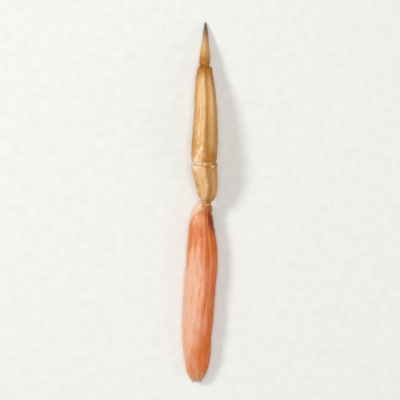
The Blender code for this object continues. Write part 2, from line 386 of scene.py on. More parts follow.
def skin(name, points, material, fields, ring=False):
    """A piece of one closed skin through the rows of points."""
    return piece(name, [loft(points, fields, ring)], material)


def piece(name, skins, material):
    """A mesh of closed skins, turned to face outwards, that rides on the leg."""
    starts = np.cumsum([0] + [len(places) for places, _, _ in skins])
    places = np.vstack([places for places, _, _ in skins])
    faces = [[int(start) + v for v in face] for start, (_, own, _) in zip(starts, skins) for face in own]
    mesh = bpy.data.meshes.new(name)
    mesh.from_pydata(places.tolist(), [], faces)
    mesh.calc_loop_triangles()
    triangles = np.empty(len(mesh.loop_triangles) * 3, np.int32)
    mesh.loop_triangles.foreach_get("vertices", triangles)
    if np.linalg.det(places[triangles.reshape(-1, 3)]).sum() < 0:
        mesh.flip_normals()
    for key in skins[0][2]:
        value = np.concatenate([values[key] for _, _, values in skins]).astype(np.float32)
        mesh.attributes.new(key, "FLOAT", "POINT").data.foreach_set("value", value)
    mesh.shade_smooth()
    mesh.materials.append(material)
    made = bpy.data.objects.new(name, mesh)
    bpy.context.scene.collection.objects.link(made)
    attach(made, "root")
    return made


# ---------------------------------------------------------------- materials


def srgb(red, green, blue):
    """A linear colour from sRGB bytes."""
    share = np.array([red, green, blue]) / 255
    linear = np.where(share <= 0.04045, share / 12.92, ((share + 0.055) / 1.055) ** 2.4)
    return (*linear.tolist(), 1.0)


class Finish:
    """A Principled material and short names for the nodes that feed it."""

    def __init__(self, name, **plain):
        self.material = bpy.data.materials.new(name)
        self.material.use_nodes = True
        self.tree = self.material.node_tree
        self.shader = self.tree.nodes["Principled BSDF"]
        for socket, value in plain.items():
            self.shader.inputs[socket.replace("_", " ")].default_value = value
        self.where = self.node("ShaderNodeTexCoord").outputs["Object"]

    def node(self, kind, inputs=None, **settings):
        made = self.tree.nodes.new(kind)
        for key, value in settings.items():
            setattr(made, key, value)
        for key, value in (inputs or {}).items():
            self.feed(made.inputs[key], value)
        return made

    def feed(self, socket, value):
        """Sets a socket, or links it where the value is another node's output."""
        if isinstance(value, bpy.types.NodeSocket):
            self.tree.links.new(value, socket)
        else:
            socket.default_value = value

    def field(self, name):
        """A value that each vertex of the mesh carries."""
        return self.node("ShaderNodeAttribute", attribute_name=name).outputs["Fac"]

    def maths(self, operation, a, b):
        return self.node("ShaderNodeMath", {0: a, 1: b}, operation=operation).outputs[0]

    def stretched(self, width, length):
        """The surface's place in units of width across the leg and length along it."""
        scale = (1 / width, 1 / length, 1 / width)
        return self.node("ShaderNodeVectorMath", {0: self.where, 1: scale}, operation="MULTIPLY").outputs[0]

    def noise(self, width, length, detail, roughness=0.55):
        inputs = {
            "Vector": self.stretched(width, length),
            "Scale": 1.0,
            "Detail": detail,
            "Roughness": roughness,
        }
        return self.node("ShaderNodeTexNoise", inputs).outputs["Fac"]

    def cells(self, width, length):
        """How far the surface is from the nearest of many scattered spots."""
        inputs = {"Vector": self.stretched(width, length), "Scale": 1.0}
        return self.node("ShaderNodeTexVoronoi", inputs).outputs["Distance"]

    def remap(self, value, low, high, to_low=0.0, to_high=1.0):
        """The value's way from low to high, made smooth and turned into a way from to_low to to_high."""
        inputs = {0: value, 1: low, 2: high, 3: to_low, 4: to_high}
        return self.node("ShaderNodeMapRange", inputs, interpolation_type="SMOOTHSTEP").outputs[0]

    def mix(self, factor, a, b, blend="MIX"):
        inputs = {0: factor, 6: a, 7: b}
        made = self.node("ShaderNodeMix", inputs, data_type="RGBA", blend_type=blend, clamp_factor=True)
        return made.outputs[2]

    def bump(self, height, distance, under=None):
        inputs = {"Height": height, "Distance": distance, "Strength": 1.0}
        if under is not None:
            inputs["Normal"] = under
        return self.node("ShaderNodeBump", inputs).outputs["Normal"]

    def finish(self, colour, roughness, normal):
        self.feed(self.shader.inputs["Base Color"], colour)
        self.feed(self.shader.inputs["Roughness"], roughness)
        self.feed(self.shader.inputs["Normal"], normal)
        return self.material


PALE_FLESH = srgb(238, 188, 158)
PINK_FLESH = srgb(232, 154, 102)
SALMON = srgb(222, 122, 66)
DEEP_SALMON = srgb(200, 80, 30)
ORANGE_FLESH = srgb(212, 104, 8)
# Painted shade: the dark red-brown of the meat's right shoulder in the shadow below the knee.
SHOULDER_SHADE_RED = srgb(118, 26, 0)
CUT_CREAM = srgb(240, 194, 142)
CUT_BROWN = srgb(204, 128, 66)
WHITE_FIBRE = srgb(248, 208, 172)

SHELL_CREAM = srgb(234, 194, 140)
SHELL_BUFF = srgb(210, 162, 98)
SHELL_OCHRE = srgb(196, 140, 72)
SHELL_TAN = srgb(176, 116, 46)
SHELL_RUST = srgb(160, 84, 32)
SHELL_AMBER = srgb(178, 110, 0)
SHELL_HORN = srgb(112, 78, 40)
SHELL_WHITE = srgb(246, 226, 196)

SKIN_CREAM = srgb(248, 200, 162)
SKIN_PINK = srgb(222, 160, 102)
SKIN_TAN = srgb(160, 98, 40)
SKIN_AMBER = srgb(168, 102, 40)

FLOOR_GREY = srgb(233, 236, 235)
FLOOR_PALE = srgb(237, 240, 239)


def meat_finish():
    """Moist muscle: orange on the leg's upper side and pale pink on the other, its fibres showing through."""
    f = Finish(
        "peeled_crab_meat",
        Subsurface_Weight=0.30,
        Subsurface_Scale=0.0010,
        Subsurface_Radius=(1.0, 0.42, 0.20),
        Coat_Weight=0.20,
        Coat_Roughness=0.13,
        Specular_IOR_Level=0.20,
    )
    film, crease, end, shoulder_shade = f.field("film"), f.field("crease"), f.field("end"), f.field("shoulder_shade")
    strand = f.noise(0.00042, 0.0060, detail=2.0)
    thread = f.noise(0.00016, 0.0022, detail=2.0)
    cloud = f.noise(0.0024, 0.0070, detail=4.0)
    web = f.cells(0.00075, 0.0016)
    tint = f.maths("ADD", film, f.remap(cloud, 0.3, 0.7, -0.20, 0.20))
    tint = f.maths("ADD", tint, f.remap(strand, 0.3, 0.7, -0.10, 0.10))
    colour = f.mix(f.remap(tint, 0.05, 0.45), PALE_FLESH, PINK_FLESH)
    colour = f.mix(f.remap(tint, 0.40, 0.80), colour, SALMON)
    colour = f.mix(f.remap(tint, 0.85, 1.20), colour, DEEP_SALMON)
    upper_side = f.maths("MULTIPLY", f.field("dorsal"), f.remap(tint, 0.1, 0.6, 0.80, 1.0))
    colour = f.mix(upper_side, colour, ORANGE_FLESH)
    colour = f.mix(f.remap(web, 0.10, 0.45, 0.18, 0.0), colour, DEEP_SALMON)
    fibres = f.maths("ADD", f.remap(strand, 0.56, 0.74, 0.0, 0.34), f.maths("MULTIPLY", crease, 0.24))
    fibres = f.maths("ADD", fibres, f.remap(f.cells(0.0021, 0.0036), 0.06, 0.17, 0.22, 0.0))
    fibres = f.maths("MULTIPLY", fibres, f.remap(f.field("dorsal"), 0.0, 1.0, 1.0, 0.35))
    colour = f.mix(fibres, colour, WHITE_FIBRE)
    torn = f.maths("MULTIPLY", end, f.remap(strand, 0.35, 0.6, 0.4, 1.0))
    colour = f.mix(f.maths("MULTIPLY", torn, 0.55), colour, CUT_CREAM)
    colour = f.mix(f.maths("MULTIPLY", end, f.remap(thread, 0.42, 0.62, 0.05, 0.42)), colour, CUT_BROWN)
    # Painted shade: dark red-brown on the right shoulder below the knee.
    colour = f.mix(f.maths("MULTIPLY", shoulder_shade, f.remap(strand, 0.3, 0.7, 1.0, 0.75)), colour, SHOULDER_SHADE_RED)
    colour = f.mix(f.remap(thread, 0.35, 0.65, 0.0, 0.12), colour, DEEP_SALMON, "MULTIPLY")
    roughness = f.maths("ADD", f.remap(strand, 0.3, 0.7, 0.28, 0.42), f.remap(cloud, 0.35, 0.65, 0.0, 0.12))
    normal = f.bump(strand, 0.00009)
    normal = f.bump(thread, 0.00005, normal)
    return f.finish(colour, roughness, normal)


def shell_finish():
    """Cooked shell: cream to tan, waxy, finely mottled and pitted, amber where it thins at the joints."""
    f = Finish(
        "cooked_crab_shell",
        Subsurface_Weight=0.32,
        Subsurface_Scale=0.0012,
        Subsurface_Radius=(1.0, 0.58, 0.26),
        Coat_Weight=0.38,
        Coat_Roughness=0.09,
        Specular_IOR_Level=0.18,
    )
    ridge, grain = f.field("ridge"), f.field("grain")
    amber, horn, knob = f.field("amber"), f.field("horn"), f.field("knob")
    cloud = f.noise(0.0019, 0.0150, detail=4.0)
    streak = f.noise(0.00040, 0.0070, detail=3.0)
    mottle = f.noise(0.00075, 0.0013, detail=4.0, roughness=0.65)
    speck = f.cells(0.00040, 0.00052)
    pit = f.noise(0.00018, 0.00026, detail=2.0)
    tint = f.maths("ADD", f.field("tone"), f.remap(cloud, 0.3, 0.7, -0.13, 0.13))
    tint = f.maths("ADD", tint, f.remap(streak, 0.25, 0.75, -0.15, 0.15))
    tint = f.maths("ADD", tint, f.remap(mottle, 0.25, 0.75, -0.10, 0.10))
    colour = f.mix(f.remap(tint, -0.05, 0.35), SHELL_CREAM, SHELL_BUFF)
    colour = f.mix(f.remap(tint, 0.30, 0.70), colour, SHELL_OCHRE)
    colour = f.mix(f.remap(tint, 0.65, 1.15), colour, SHELL_TAN)
    dots = f.maths("MULTIPLY", f.remap(speck, 0.08, 0.26, 1.0, 0.0), f.remap(cloud, 0.48, 0.62, 0.05, 0.30))
    colour = f.mix(dots, colour, SHELL_RUST)
    # Painted highlight: paler cream on the ridges' crests.
    colour = f.mix(f.maths("MULTIPLY", ridge, 0.30), colour, SHELL_CREAM)
    colour = f.mix(f.maths("MULTIPLY", grain, 0.32), colour, SHELL_WHITE)
    # Painted shade: tan in the hollows of the fine pits.
    colour = f.mix(f.remap(pit, 0.30, 0.45, 0.12, 0.0), colour, SHELL_TAN)
    # Amber at the joints; on the propodus's left past the wrist one stain is painted shade.
    amber_and_shade_strength = f.maths("MULTIPLY", amber, f.remap(streak, 0.30, 0.70, 0.75, 1.35))
    colour = f.mix(f.remap(amber_and_shade_strength, 0.05, 0.95, 0.0, 0.95), colour, SHELL_AMBER)
    # Painted highlight: white on the condyle knobs of the left side and on the bosses.
    colour = f.mix(f.maths("MULTIPLY", knob, 0.85), colour, SHELL_WHITE)
    colour = f.mix(f.remap(horn, 0.0, 1.0, 0.0, 0.9), colour, SHELL_HORN)
    roughness = f.maths("ADD", f.remap(streak, 0.3, 0.7, 0.24, 0.36), f.remap(mottle, 0.35, 0.65, 0.0, 0.12))
    normal = f.bump(streak, 0.00004)
    normal = f.bump(mottle, 0.00005, normal)
    normal = f.bump(pit, 0.00002, normal)
    return f.finish(colour, roughness, normal)


def membrane_finish(name, colours, crinkle):
    """Soft joint skin, pale where its tone is 0 and deep where it is 1, crinkled along its folds."""
    pale, middle, deep = colours
    f = Finish(
        name,
        Subsurface_Weight=0.30,
        Subsurface_Scale=0.0010,
        Subsurface_Radius=(1.0, 0.45, 0.20),
        Coat_Weight=0.32,
        Coat_Roughness=0.20,
        Specular_IOR_Level=0.30,
    )
    patch = f.noise(0.0016, 0.0022, detail=4.0, roughness=0.6)
    vein = f.noise(*crinkle, detail=3.0)
    tone = f.maths("ADD", f.field("tone"), f.remap(patch, 0.34, 0.66, -0.22, 0.22))
    colour = f.mix(f.remap(tone, 0.05, 0.50), pale, middle)
    colour = f.mix(f.remap(tone, 0.50, 1.00), colour, deep)
    # Painted shade: the deep colour laid along the folds.
    colour = f.mix(f.maths("MULTIPLY", f.field("fold_shade"), 0.45), colour, deep)
    colour = f.mix(f.remap(vein, 0.55, 0.70, 0.0, 0.30), colour, pale)
    colour = f.mix(f.field("edge"), colour, SHELL_WHITE)
    roughness = f.remap(patch, 0.3, 0.7, 0.26, 0.46)
    return f.finish(colour, roughness, f.bump(vein, 0.00006))


# ---------------------------------------------------------------- the meat


def bundle_relief(share, angle):
    """The grooves between the muscle bundles, and the seam over the tendon plate."""
    seam = turned(angle, SEAM_ANGLE + SEAM_SWAY * np.sin(2.6 * math.pi * share))
    relief = -SEAM_DEPTH * bell(seam, SEAM_WIDTH)
    spread = np.random.default_rng(11)
    for bundle in range(BUNDLES):
        place = 2 * math.pi * (bundle + spread.uniform(-0.3, 0.3)) / BUNDLES
        wander = spread.uniform(0.04, 0.14) * np.sin(spread.uniform(3, 9) * share + place)
        depth = BUNDLE_DEPTH * spread.uniform(0.5, 1.3)
        relief -= depth * bell(turned(angle, place + wander), BUNDLE_WIDTH)
    return relief


def meat_surface(y, angle, offset=0.0, relief=0.0):
    """Points on the meat's surface, offset outwards, with its bundles and its flat underside."""
    share = (y - CUT_Y) / (KNEE_Y - CUT_Y)
    outline = smooth_curve(share, MEAT_OUTLINE)
    belly = 0.5 + 0.5 * np.sin(3.3 * math.pi * share + 0.6)
    half_width = MEAT_SIZE[0] / 2 * outline * (1 + MEAT_BULGE * belly)
    half_height = MEAT_SIZE[1] / 2 * outline
    slope = SLOPE_DEPTH * smooth_curve(share, SLOPE) * np.clip(np.cos(angle - SLOPE_ANGLE), 0, 1)
    relief = (bundle_relief(share, angle) - slope + relief) * outline
    across, up = section(angle, half_width + offset, half_height + offset, MEAT_FULLNESS, relief)
    points = along_axis(y, across, up)
    points[..., 2] = np.maximum(points[..., 2], 0)
    return points


def meat_relief(y, angle, feathered, end):
    """The meat's lumps, cords, strands and wrinkles as one relief, and then its cords and its strands."""
    cords = creases(round_leg(y, feathered, MEAT_RADIUS, 0.0012, 0.011), 3, 5)
    strands = creases(round_leg(y, feathered, MEAT_RADIUS, 0.0006, 0.006), 7, 4)
    lumps = fractal(round_leg(y, angle, MEAT_RADIUS, 0.0050, 0.0100), 13)
    wrinkled = step_up(noise(round_leg(y, angle, MEAT_RADIUS, 0.0060, 0.0090), 17), -0.1, 0.5)
    wrinkles = creases(round_leg(y, angle, MEAT_RADIUS, 0.0045, 0.0011), 19, 7) * wrinkled
    relief = 0.00016 * lumps - 0.00011 * cords - 0.00006 * strands * (1 + 2.5 * end) - 0.00005 * wrinkles
    return relief, cords, strands


def meat_fields(y, angle, share, feathered, cords, strands, end):
    """What the meat's material reads.

    The leg's upper side, which faces right here, is orange. The film reddens towards the knee, where a pale
    veil of membrane clings on the left below the collar, and a dark red-brown patch of painted shade lies on
    the right shoulder below the knee.
    """
    edge = 0.25 * fractal(round_leg(y, angle, MEAT_RADIUS, 0.0030, 0.0120), 27)
    low_end = step_up(-share, -0.30, -0.06)
    dorsal = step_up(np.cos(angle + math.radians(14)) + edge + 0.42 * low_end, -0.62, 0.35)
    streaks = fractal(round_leg(y, feathered, MEAT_RADIUS, 0.0020, 0.016), 29)
    red_top = step_up(share + 0.05 * streaks, 0.64, 0.86) * (0.72 - 0.16 * dorsal)
    veil = bell(y - 0.0305, 0.0026) * step_up(np.cos(angle - math.radians(142)) + 0.2 * streaks, 0.35, 0.85)
    film = 0.06 + 0.24 * dorsal + red_top + 0.15 * low_end * dorsal - 0.50 * veil + 0.17 * streaks
    ragged = 0.60 * noise(round_leg(y, feathered, MEAT_RADIUS, 0.0009, 0.0085), 35)
    half_angle = 0.88 + 0.52 * step_up(y, 0.0295, 0.0345)
    shoulder = ((y - 0.0293) / 0.0060) ** 2 + (turned(angle, math.radians(16)) / half_angle) ** 2
    bundles = np.clip(-bundle_relief(share, angle) / BUNDLE_DEPTH, 0, 1)
    return {
        "film": film,
        "crease": np.clip(0.30 * bundles + 0.40 * cords**2 + 0.25 * strands**2, 0, 1),
        "end": end,
        "dorsal": dorsal,
        # Painted shade: a patch on the right shoulder below the knee, darkest at its middle.
        "shoulder_shade": step_up(-shoulder - ragged, -1.40, -0.45),
    }


def meat(material):
    """The peeled merus, with its feathered fibres, torn film and frayed cut end."""
    sides, rows = 216, 420
    ease = np.linspace(0, 1, rows)
    share = ease + 0.11 * np.sin(2 * math.pi * ease) / (2 * math.pi) - 0.03 * np.sin(4 * math.pi * ease)
    share = np.tile(share[:, None], (1, sides))
    angle = grid(rows, sides)
    y = CUT_Y + share * (KNEE_Y - GAP - CUT_Y)
    end = 1 - step_up(share, 0.0, 0.075)

    # Fibres fan out from the seam like a feather's barbs.
    feathered = angle + 1.9 * share * np.sin(angle - SEAM_ANGLE)
    relief, cords, strands = meat_relief(y, angle, feathered, end)
    frayed = FRAY * (np.sin(5 * angle + 0.7) + 0.7 * np.sin(9 * angle + 2.1))
    frayed += 0.0004 * noise(round_leg(y, angle, MEAT_RADIUS, 0.0007, 0.02), 23)
    points = meat_surface(y, angle, 0.0, relief)
    points[..., 1] += frayed * np.clip(1 - share / FRAY_TO, 0, 1) ** 2 * np.clip(share / FRAY_FROM, 0, 1)
    fields = meat_fields(y, angle, share, feathered, cords, strands, end)
    made = skin("peeled_meat", points, material, fields)
    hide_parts("merus_meat")


def meat_point(y, angle):
    """The point of the meat's surface at one y and one angle."""
    return meat_surface(np.full((1, 1), y), np.full((1, 1), angle))[0, 0]


def loose_fibres(material):
    """Torn fibre ends that lie along the meat and stand free at the cut, a few of them flat flakes."""
    spread = np.random.default_rng(43)
    rows = 18
    t = np.linspace(0, 1, rows)
    skins = []
    for index in range(FIBRES):
        root = CUT_Y + spread.uniform(0.0004, 0.0040)
        angle = spread.uniform(0, 2 * math.pi)
        flake = 2.2 if index % FLAKE_EVERY == 0 else 1.0
        half_width = spread.uniform(0.00008, 0.00021) * flake
        length = spread.uniform(0.0011, 0.0026)
        leave = CUT_Y + spread.uniform(0.0006, 0.0017)
        y = np.maximum(root - t * length, CUT_Y - FIBRE_OVERHANG)
        turns = angle + spread.normal(0, 0.10) * t
        lift = -0.00008 + spread.uniform(0.0, 0.00016) * t**2
        path = meat_surface(np.maximum(y, leave)[:, None], turns[:, None], lift[:, None])[:, 0]

        # Past the point where it leaves the meat, a fibre goes straight on and a little inwards.
        near = meat_point(leave, angle)
        far = meat_point(leave + 0.0006, angle)
        heading = (near - far) / (far[1] - near[1])
        path += np.maximum(leave - y, 0)[:, None] * (heading * np.array([0.75, 1.0, 0.75]))
        path[:, 0] += spread.normal(0, 0.00012) * t**2
        taper = np.sqrt(1 - 0.94 * t**3)
        half_thickness = np.minimum(0.6 * half_width, 0.00011) * taper
        path[:, 2] = np.maximum(path[:, 2], half_thickness + half_width * abs(math.cos(angle)))
        side = np.array([-math.sin(angle), 0.0, math.cos(angle)])
        fields = {
            "film": np.full((rows, 1), spread.uniform(-0.1, 0.5)),
            "crease": np.full((rows, 1), 0.4),
            "end": 0.50 - 0.30 * t[:, None],
            "dorsal": np.full((rows, 1), 0.35 + 0.35 * math.cos(angle)),
            "shoulder_shade": np.zeros((rows, 1)),
        }
        skins.append(loft(ribbon(path, half_width * taper, half_thickness, side, 8), fields))
    piece("loose_fibres", skins, material)


# ---------------------------------------------------------------- the knee's collar


def collar(material):
    """The torn skirt of membrane over the meat's shoulder, longest on its left side."""
    sides, outer_rows, inner_rows = 200, 60, 24
    reach = np.concatenate([np.linspace(0, 1, outer_rows), np.linspace(0.98, 0.05, inner_rows)])[:, None]
    outer = (np.arange(len(reach)) < outer_rows)[:, None]
    angle = grid(len(reach), sides)
    longest = COLLAR_LENGTH - COLLAR_LEAN * np.cos(angle - COLLAR_SHORT_ANGLE)
    for waves, height in COLLAR_WAVES:
        longest = longest + height * np.sin(waves * angle)
    flat = np.zeros_like(angle)
    torn = 0.0008 * noise(round_leg(flat, angle, MEAT_RADIUS, 0.0026, 1.0), 31)
    torn += 0.0004 * noise(round_leg(flat, angle, MEAT_RADIUS, 0.0010, 1.0), 33)
    torn += 0.0002 * noise(round_leg(flat, angle, MEAT_RADIUS, 0.0004, 1.0), 39)
    longest = longest + torn
    y = KNEE_Y + COLLAR_REACH - reach * longest
    swell = smooth_curve(reach, [(0, 0.35), (0.25, 0.75), (0.6, 0.50), (0.9, 0.25), (1, 0.06)])
    thickness = np.where(outer, COLLAR_SKIN * swell, 0)
    grip = -0.0007 * bell(reach, 0.10)
    folds = creases(round_leg(y, angle, MEAT_RADIUS, 0.0011, 0.009), 37, 3)
    puckers = fractal(round_leg(y, angle, MEAT_RADIUS, 0.0016, 0.0030), 41)
    lift = GAP * (0.25 + 0.55 * step_up(reach, 0.2, 0.5)) * (1 - 0.85 * step_up(reach, 0.75, 1.0))
    pleats = creases(round_leg(y, angle, MEAT_RADIUS, 0.0017, 0.030), 45, 4)
    relief = np.where(outer, 0.00013 * puckers - 0.00014 * folds + 0.00022 * pleats * (1 - reach**4), 0)
    points = meat_surface(y, angle, lift + thickness + grip, relief)
    # Painted shade: the collar is pale on its left and deepens to tan on its right, away from the light, and
    # its folds are shaded less on the left.
    left = step_up(np.cos(angle - math.radians(172)) + 0.2 * puckers, 0.05, 0.75)
    tone = 0.26 + (0.70 - 0.96 * left) * step_up(reach, 0.05, 0.40)
    fields = {
        "fold_shade": np.where(outer, folds * (1 - 0.7 * left), 0),
        "edge": step_up(reach, 0.88, 1.0) * 0.15,
        "tone": tone + 0.16 * left * step_up(reach, 0.7, 1.0),
    }
    made = skin("torn_knee_collar", points, material, fields, ring=True)
    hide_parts("knee_collar")


def membrane_shred(material):
    """Torn strands of membrane that hang from the collar over the meat's right shoulder, with pale ends."""
    t = np.linspace(0, 1, 72)
    skins = []
    for start, length, degrees, bend, widest, thickness in SHRED_STRIPS:
        angle = math.radians(degrees) - bend * np.sin(3.4 * t)
        lift = 0.00003 + 0.00024 * t**3
        path = meat_surface((start - length * t)[:, None], angle[:, None], lift[:, None])[:, 0]
        ragged = 1 + 0.30 * noise(np.stack([t * 9, np.full_like(t, degrees), t * 0], axis=-1), 47)
        pad = bell(t - 0.80, 0.15)
        half_width = widest * (0.34 + 0.66 * pad) * np.sqrt(1.002 - t**5) * ragged
        half_thickness = np.minimum(thickness, half_width)
        rows = ribbon(path, half_width, half_thickness, np.array([0.5, 0.2, -0.8]), 24)
        tone = 0.74 - 0.30 * pad[:, None]
        fields = {"fold_shade": np.zeros_like(tone), "edge": np.zeros_like(tone), "tone": tone}
        skins.append(loft(rows, fields))
    piece("membrane_shred", skins, material)


# ---------------------------------------------------------------- shelled sub-parts


def ridge_relief(angle, ridges, strength):
    """Height of the lengthwise ridges at each angle."""
    relief = np.zeros_like(angle)
    for degrees, height, width in ridges:
        relief += height * strength * bell(turned(angle, math.radians(degrees)), math.radians(width))
    return relief


def granules(y, angle, radius, spots):
    """Low round bumps at the spots, each (y, angle, size, height)."""
    relief = np.zeros_like(angle)
    for at_y, at_angle, size, height in spots:
        rows = np.abs(y[:, 0] - at_y) < 3 * size
        if rows.any():
            away = turned(angle[rows], at_angle) * radius
            relief[rows] += height * np.exp(-((away**2 + (y[rows] - at_y) ** 2) / size**2) ** 1.5)
    return relief


def granule_spots(start, end, ridges, spacing, scattered, seed):
    """A row of granules on each of the first three ridges, and smaller ones scattered between."""
    spread = np.random.default_rng(seed)
    spots = []
    for degrees, height, _ in ridges[:3]:
        y = start
        while y < end:
            y += spacing * spread.uniform(0.5, 1.8)
            at_angle = math.radians(degrees + spread.uniform(-2.5, 2.5))
            spots.append((y, at_angle, spread.uniform(0.00016, 0.00030), height * spread.uniform(0.10, 0.32)))
    for _ in range(scattered):
        at_angle = spread.uniform(0, 2 * math.pi)
        y = start + (end - start) * spread.uniform(0, 1) ** 1.3
        size = spread.uniform(0.00012, 0.00024)
        spots.append((y, at_angle, size, size * spread.uniform(0.25, 0.45)))
    return spots


def shell_rows(start, end, size, outline, rows, wall, socket):
    """Each row's y, half width and height, share of the ridges, and nearness to the rim.

    They go along the outside from start to end, and then back into the socket behind the rim.
    """
    share = np.linspace(0, 1, rows) ** 1.1
    y = start + share * (end - start)
    half = smooth_curve(share, outline)[:, None] * np.array(size) / 2
    strength = smooth_curve(share, [(0, 0), (0.12, 0.3), (0.25, 1), (0.9, 1), (1, 0.5)])
    near_rim = np.clip(1 - (end - y) / LOBE_BLEND, 0, 1) ** 2
    if socket:
        depth = np.array([0.01, 0.04, 0.10, 0.20, 0.35, 0.5, 0.7, 0.85, 1.0, 1.0, 1.0])
        inset = np.array([0.12, 0.45, 0.80, 1.0, 1.05, 1.1, 1.2, 1.35, 1.8, 2.6, 3.6])
        y = np.concatenate([y, end - depth * socket])
        half = np.concatenate([half, half[-1] - inset[:, None] * wall])
        strength = np.concatenate([strength, np.zeros(len(depth))])
        near_rim = np.concatenate([near_rim, np.maximum(1 - 1.6 * depth, 0)])
    return y, half, strength[:, None], near_rim[:, None]


def fine_relief(y, angle, radius, strength, grain, flutes, seed):
    """The shell's dents, thin lines, grooves, granules and flutes."""
    dents = fractal(round_leg(y, angle, radius, 0.0030, 0.0080), seed + 1)
    lines = creases(round_leg(y, angle, radius, 0.0009, 0.0120), seed + 5, 5)
    grooves = ridge_relief(angle, SHELL_GROOVES, strength)
    fluted = flutes * (0.5 + 0.5 * np.cos(CLAW_FLUTES * angle)) * strength
    return 0.00009 * dents - 0.00006 * lines - grooves + grain - fluted


def from_left_to_right(angle, on_left, on_right):
    """A value that changes smoothly from the leg's left side, over its top, to its right side."""
    return on_left + (on_right - on_left) * step_up(np.cos(angle), -0.50, 0.30)


def shell_tone_and_shade(y, angle, radius, even, painted_light_and_shade, seed):
    """Cream (0) on the side that faces left and tan (1) on the right, in bands that wander a little.

    Partly the shell's own colour and partly painted shade on the side away from the key light, with patches
    of painted light and shade added.
    """
    wander = 0.09 * noise(round_leg(y, angle, radius, 0.004, 0.009), seed + 9)
    tone = smooth_curve(np.degrees(turned(angle + wander, 0)), SHELL_TONE_AND_SHADE)
    tone += even * (EVEN_TONE - tone)
    # Patches of painted shade deepen the tone, and patches of painted light pale it.
    for place, reach, on_left, on_right in painted_light_and_shade:
        tone += bell(y - place, reach) * from_left_to_right(angle, on_left, on_right)
    return tone


def shell(name, node, start, end, size, outline, ridges, material, sides, rows, seed, stains_and_shade, painted_light_and_shade=(),
          wall=0.0, socket=0.0, lobes=0.0, spots=(), bosses=(), flutes=0.0, horn=0.0, even=0.0):
    """A shelled sub-part with its ridges, granules, lip and condyle knobs.

    Its stains are amber, as (y, reach, strength on its left, strength on its right); on the propodus one of
    them is painted shade. Its patches of painted light and shade are given the same way, for how much deeper
    the tone is painted: shade where positive, light where negative. horn is its horny tip's length, even is
    how far its colour is the same all round, and bosses are its bumps as (y, angle, size, height), painted
    white as highlights.
    """
    y, half, strength, near_rim = shell_rows(start, end, size, outline, rows, wall, socket)
    angle = grid(len(y), sides)
    y = np.tile(y[:, None], (1, sides))
    outside = (np.arange(len(y)) < rows)[:, None]
    radius = CLAW_RADIUS if size is DACTYLUS_SIZE else SHELL_RADIUS
    from_end = end - y

    ridge = ridge_relief(angle, ridges, strength)
    grain = granules(y, angle, radius, spots)
    boss = granules(y, angle, radius, bosses)
    lip = bell(from_end, 0.0008) - 0.8 * bell(from_end - 0.0021, 0.0008) if socket else 0.0
    fine = fine_relief(y, angle, radius, strength, grain, flutes, seed)
    taper = np.clip(half[:, :1] / (0.25 * size[0]), 0, 1)
    relief = ridge + (fine * taper + 0.00016 * lip + boss) * outside
    knob = np.abs(np.cos(angle)) ** 8 * near_rim**2
    relief = relief + KNOB_HEIGHT * lobes * knob * outside
    relief -= RIM_TUCK * lobes * np.cos(angle) ** 4 * bell(from_end, 0.0006)
    across, up = section(angle, half[:, :1], half[:, 1:], SHELL_FULLNESS, relief)
    reach = np.abs(np.cos(angle)) ** 3 - 0.4 * np.maximum(np.sin(angle), 0) ** 2
    points = along_axis(y + lobes * reach * near_rim, across, up)

    # Amber stains at the joints, and on the propodus one patch of painted shade.
    amber = np.zeros_like(angle)
    for place, reach, on_left, on_right in stains_and_shade:
        amber = np.maximum(amber, bell(y - place, reach) * from_left_to_right(angle, on_left, on_right))
    # Painted highlight: white on the left condyle knobs, which face the key light, and on the bosses.
    white = knob * step_up(-np.cos(angle), 0.2, 0.6) * bool(lobes) + boss / BOSS_HIGHLIGHT_HEIGHT
    fields = {
        "tone": shell_tone_and_shade(y, angle, radius, even, painted_light_and_shade, seed),
        # Painted highlight: paler where the ridges stand highest.
        "ridge": np.clip(ridge / max(height for _, height, _ in ridges), 0, 1) ** 2,
        "grain": np.clip(grain / PALE_GRAIN, 0, 1),
        "amber": amber,
        "horn": step_up(from_end, horn, 0.0) if horn else np.zeros_like(angle),
        "knob": np.clip(white, 0, 1) * outside,
    }
    made = skin(name, points, material, fields)
    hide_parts(node)


def joint_skin(name, node, rim_y, size, outline, material, wall, socket, extra, folds):
    """A soft barrel between two shells, gathered into folds round it, that swells into the gap past the rim.

    The rim at rim_y is that of the shell whose size, outline, wall and socket are given.
    """
    sides, rows = 140, 46
    start, end = rim_y - socket + GAP, rim_y + PLUG_REACH + extra
    half_width, half_height = (outline[-1][1] * side / 2 - wall for side in size)
    share = np.linspace(0, 1, rows)[:, None]
    angle = grid(rows, sides)
    y = np.broadcast_to(start + share * (end - start), angle.shape)
    swell = 1 - 0.30 * np.abs(2 * share - 1) ** 5
    pleats = np.sin(2 * math.pi * folds * share + 0.5 * np.sin(3 * angle)) * (1 - np.abs(2 * share - 1) ** 4)
    puckers = noise(round_leg(y, angle, half_width, 0.0008, 0.0010), 61)
    relief = 0.00014 * pleats + 0.00010 * puckers
    sideways = np.abs(np.cos(angle)) ** 3
    gap = rim_y + GAP_MIDDLE
    relief += JOINT_SWELL * bell(y - gap - 0.0004 * sideways, 0.00060) * (1 - 0.15 * sideways)
    across, up = section(angle, half_width * swell, half_height * swell, SHELL_FULLNESS, relief)
    # Painted shade: the deep colour in the pleats' valleys and on the right side, away from the key light.
    fields = {
        "fold_shade": np.clip(0.5 - 0.5 * pleats, 0, 1),
        "edge": np.zeros_like(angle),
        "tone": 0.35 + 0.45 * np.cos(angle),
    }
    made = skin(name, along_axis(y, across, up), material, fields)
    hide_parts(node)


# ---------------------------------------------------------------- stage


